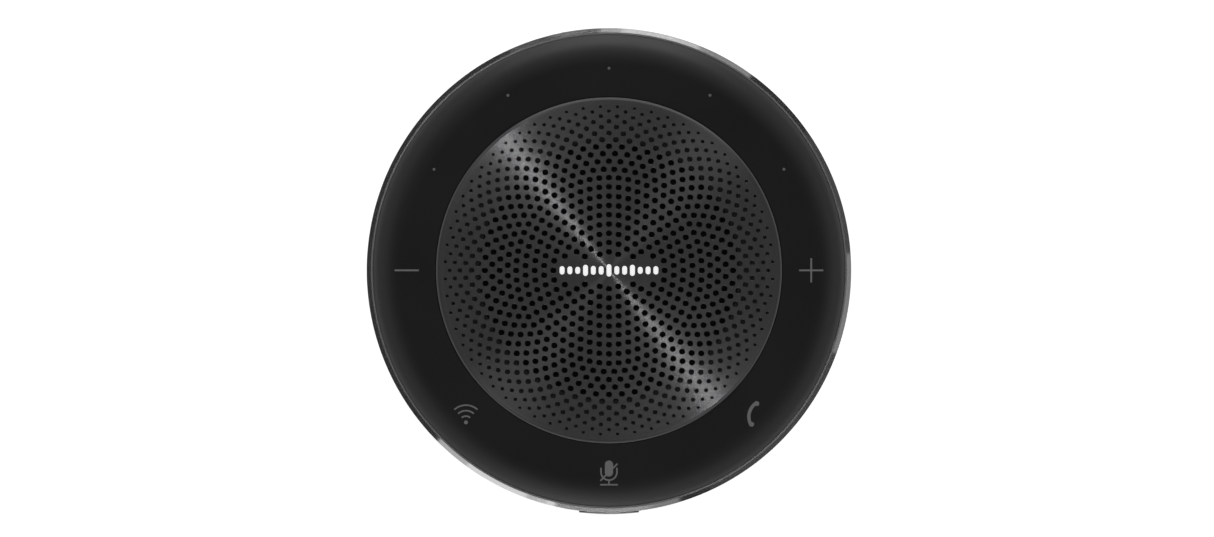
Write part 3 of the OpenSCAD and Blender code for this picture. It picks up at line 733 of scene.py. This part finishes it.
def make_port_bezel():
    shape = Shape()
    lip, gap = 0.2, 0.4
    back, front, edge = at_depth(BEZEL_BACK), on_cylinder(PORT_R, 1), on_cylinder(PORT_R, 1, lip)
    outer = pill(PORT_W, PORT_H, 0, PORT_Z)
    face = pill(PORT_W - 2 * lip, PORT_H - 2 * lip, 0, PORT_Z)
    holes = [(lambda grow: pill(USB_W + gap + 2 * grow, USB_H + gap + 2 * grow, USB_X, USB_Z)),
             (lambda grow: circle(JACK_HOLE_R + grow, 48, JACK_X, JACK_Z))]
    shape.tube_y([(outer, back), (outer, edge), (face, front)])

    def clear_of_ports(x, z):
        past_usb = max(0, abs(x - USB_X) - (USB_W - USB_H) / 2)
        return (math.dist((x, z), (JACK_X, JACK_Z)) > JACK_HOLE_R + 0.75
                and math.hypot(past_usb, z - USB_Z) > USB_H / 2 + 0.8)
    grid = [p for p in face_grid(PORT_W - 2 * lip, PORT_H - 2 * lip, 0, PORT_Z) if clear_of_ports(*p)]
    shape.wall([face] + [hole(lip) for hole in holes], front, grid)
    shape.wall([outer] + [hole(0) for hole in holes], back)
    for hole in holes:
        shape.tube_y([(hole(lip), front), (hole(0), edge), (hole(0), back)])
    return piece("port_plate", shape, [BEZEL], HOUSING, ["port_bezel"])


def make_usb():
    shell, wall, back, floor = Shape(), 0.3, 53.8, 54.2
    lip = 0.1
    rows = []
    for inset, y in ((0, back), (0, MOUTH_Y - lip), (lip * 0.3, MOUTH_Y - lip * 0.3), (lip, MOUTH_Y),
                     (wall - lip, MOUTH_Y), (wall - lip * 0.3, MOUTH_Y - lip * 0.3), (wall, MOUTH_Y - lip),
                     (wall, floor)):
        rows.append((pill(USB_W - 2 * inset, USB_H - 2 * inset, USB_X, USB_Z), at_depth(y)))
    shell.tube_y(rows)
    shell.wall([rows[0][0]], at_depth(back))
    shell.wall([rows[-1][0]], at_depth(floor))
    piece("usb_shell", shell, [STEEL], HOUSING, ["usb_receptacle"])

    tongue = Shape()
    half_w, half_h, front = 3.35, 0.35, 60.2
    contact_w, contact_h, contact_pitch, contact_back = 0.14, 0.04, 0.5, 55

    def block(x, z, w, h, y0, y1, soft, mat):
        """A bar along Y about (x, z), by its half sizes, with its edges broken in front."""
        signs = ((-1, -1), (1, -1), (1, 1), (-1, 1))
        outline = rounded([(x + i * w, z + j * h, soft) for i, j in signs], 3)
        nose = [(px - math.copysign(soft, px - x), pz - math.copysign(soft, pz - z)) for px, pz in outline]
        tongue.tube_y([(outline, at_depth(y0)), (outline, at_depth(y1 - soft)), (nose, at_depth(y1))], mat)
        tongue.wall([outline], at_depth(y0), mat=mat)
        tongue.wall([nose], at_depth(y1), mat=mat)

    block(USB_X, USB_Z, half_w, half_h, floor, front, 0.12, 0)
    for i in range(12):
        for side in (-1, 1):
            block(USB_X + contact_pitch * (i - 5.5), USB_Z + side * half_h, contact_w, contact_h,
                  contact_back, front - 0.5, 0.02, 1)
    return piece("usb_contacts", tongue, [TONGUE, GOLD], HOUSING, ["usb_tongue"])


def make_jack_ring():
    """Plated ring in the mouth of the audio jack, which stands a little into the bore."""
    shape = Shape()
    inner, sleeve, outer = JACK_BORE_R - 0.02, JACK_BORE_R + 0.3, JACK_NOSE_R - 0.1
    depth, proud = -1.2, 0.12
    profile = rounded([(inner, depth), (sleeve, depth), (sleeve, 0), (outer, 0), (outer, proud, 0.05),
                       (inner, proud, 0.08)])
    rows = [(circle(r, 48, JACK_X, JACK_Z), at_depth(MOUTH_Y + y)) for r, y in profile]
    shape.tube_y(rows + rows[:1])
    return piece("jack_ring", shape, [STEEL], HOUSING)


# --- Stage ---------------------------------------------------------------------------

def make_floor():
    """Pale table just under the foot. It is clear from below, so that the underside can be seen."""
    n = Nodes("floor_pale")
    grain = n.noise(900, 3)
    n.set(Base_Color=n.mix(n.span(n.noise(2, 3), 0, 1), (0.83, 0.83, 0.83), (0.86, 0.86, 0.86)),
          Roughness=n.span(grain, 0.85, 0.95),
          Normal=n.bump(grain, 2e-6),
          Specular_IOR_Level=0.1,
          Emission_Color=(1, 1, 1, 1),
          Emission_Strength=0.8)
    from_below = n.node("ShaderNodeNewGeometry").outputs["Backfacing"]
    clear = n.node("ShaderNodeBsdfTransparent").outputs[0]
    surface = n.node("ShaderNodeMixShader", {0: from_below, 1: n.shader.outputs[0], 2: clear}).outputs[0]
    n.tree.links.new(surface, n.tree.nodes["Material Output"].inputs["Surface"])
    radius, sides, height = 6, 96, -2e-5   # in metres
    mesh = bpy.data.meshes.new("floor")
    mesh.from_pydata([(x, y, height) for x, y in circle(radius, sides)], [], [tuple(range(sides))])
    mesh.materials.append(n.material)
    floor = bpy.data.objects.new("floor", mesh)
    bpy.context.scene.collection.objects.link(floor)


def make_world():
    """White to the camera; to the object, a soft sky that is dark overhead and bright lower down."""
    world = bpy.data.worlds.new("studio")
    bpy.context.scene.world = world
    world.use_nodes = True
    nodes, links = world.node_tree.nodes, world.node_tree.links
    nodes.clear()
    coord = nodes.new("ShaderNodeTexCoord")
    split = nodes.new("ShaderNodeSeparateXYZ")
    links.new(coord.outputs["Generated"], split.inputs[0])
    lift = nodes.new("ShaderNodeMath")
    lift.operation = "MULTIPLY_ADD"
    lift.inputs[1].default_value = lift.inputs[2].default_value = 0.5
    links.new(split.outputs["Z"], lift.inputs[0])
    ramp_node = nodes.new("ShaderNodeValToRGB")
    ramp = ramp_node.color_ramp
    levels = [(-90, 1.0), (90, 0.06), (-1, 1.0), (0, 0.028), (10.5, 0.028), (13.5, 0.82), (24, 0.86),
              (47, 0.36), (65, 0.16)]
    for i, (elevation, level) in enumerate(levels):
        position = 0.5 + 0.5 * math.sin(math.radians(elevation))
        stop = ramp.elements[i] if i < 2 else ramp.elements.new(position)
        stop.position = position
        stop.color = (level, level, level, 1)
    links.new(lift.outputs[0], ramp_node.inputs[0])
    sky = nodes.new("ShaderNodeBackground")
    links.new(ramp_node.outputs["Color"], sky.inputs["Color"])
    white = nodes.new("ShaderNodeBackground")
    white.inputs["Color"].default_value = (1, 1, 1, 1)
    path = nodes.new("ShaderNodeLightPath")
    blend = nodes.new("ShaderNodeMixShader")
    links.new(path.outputs["Is Camera Ray"], blend.inputs[0])
    links.new(sky.outputs[0], blend.inputs[1])
    links.new(white.outputs[0], blend.inputs[2])
    links.new(blend.outputs[0], nodes.new("ShaderNodeOutputWorld").inputs["Surface"])


def softbox(name, azimuth, elevation, half_width, half_height, radiance):
    """An area light by compass azimuth from +Y, its half angles in degrees, and its brightness."""
    distance, aim = 2.4, Vector((0, 0, 0.03))
    light = bpy.data.lights.new(name, "AREA")
    light.shape = "RECTANGLE"
    light.size = 2 * distance * math.tan(math.radians(half_width))
    light.size_y = 2 * distance * math.tan(math.radians(half_height))
    light.energy = radiance * math.pi * light.size * light.size_y
    obj = bpy.data.objects.new(name, light)
    obj.visible_camera = False
    a, e = math.radians(azimuth), math.radians(elevation)
    away = Vector((math.sin(a) * math.cos(e), math.cos(a) * math.cos(e), math.sin(e)))
    obj.location = away * distance + aim
    obj.rotation_mode = "QUATERNION"
    obj.rotation_quaternion = (-away).to_track_quat("-Z", "Y")
    bpy.context.scene.collection.objects.link(obj)
    return obj


def make_lights(grille):
    """The low light at the back doesn't reach the grille, which mirrors it at a low angle."""
    for azimuth, share in ((321.5, 1.0), (141.5, 0.75)):
        softbox(f"key_strip_{azimuth:.0f}", azimuth, 74, 0.2, 9, 9.0 * share)
        softbox(f"key_halo_{azimuth:.0f}", azimuth, 70, 8, 10, 0.16 * share)
    for azimuth in (40, 220):
        softbox(f"fill_strip_{azimuth}", azimuth, 70, 3, 10, 0.26)
    softbox("top_soft", 5, 55, 24, 9, 0.3)
    back = softbox("back_soft", 0, 16, 24, 7.7, 2.3)
    shaded = bpy.data.collections.new("shaded_from_back_soft")
    shaded.objects.link(grille)
    shaded.collection_objects[0].light_linking.link_state = "EXCLUDE"
    back.light_linking.receiver_collection = shaded
    softbox("back_low", 2, 1.2, 15, 1.2, 7)
    softbox("front_soft", 186, 16, 16, 6, 0.7)
    softbox("front_low", 184, 1.4, 14, 1.4, 4.5)
    softbox("low_back", 10, 5.5, 12, 2.6, 0.27)
    softbox("low_back_wide", 19.5, 5.5, 16.5, 2.6, 0.25)
    softbox("low_front", 208, 5.5, 8, 2.8, 0.3)
    softbox("low_front_wide", 209, 5.5, 16, 2.8, 0.48)
    softbox("low_front_soft", 179, 5.5, 16, 2.8, 0.2)
    softbox("low_right", 98, 5.5, 12, 2.8, 0.175)
    softbox("low_right_wide", 105, 5.5, 50, 2.8, 0.035)


def make_camera():
    """Looks straight down. The width is the view's own, at that distance below the camera."""
    distance, width = 5.0, 0.31089
    data = bpy.data.cameras.new("camera")
    data.sensor_width = 36
    data.lens = data.sensor_width * distance / width
    data.clip_start, data.clip_end = 0.05, 50
    camera = bpy.data.objects.new("camera", data)
    camera.location = (-0.000504, 0.000472, distance + 0.029)
    bpy.context.scene.collection.objects.link(camera)
    bpy.context.scene.camera = camera


make_camera()
make_cover()
make_pipes()
make_legends()
grille_plate = make_grille()
make_mark()
make_band()
make_key()
make_key_bezel()
make_port_bezel()
make_usb()
make_jack_ring()

slots = {row["node"]: row["material_slot"] for row in frame["record"]["subparts"]}
for name, node in frame["nodes"].items():
    finish = SLOT_FINISH.get(slots[name])
    if finish and not node.hide_render:
        node.data.materials.clear()
        node.data.materials.append(finish)

make_floor()
make_world()
make_lights(grille_plate)
bpy.context.scene.view_settings.view_transform = "Standard"
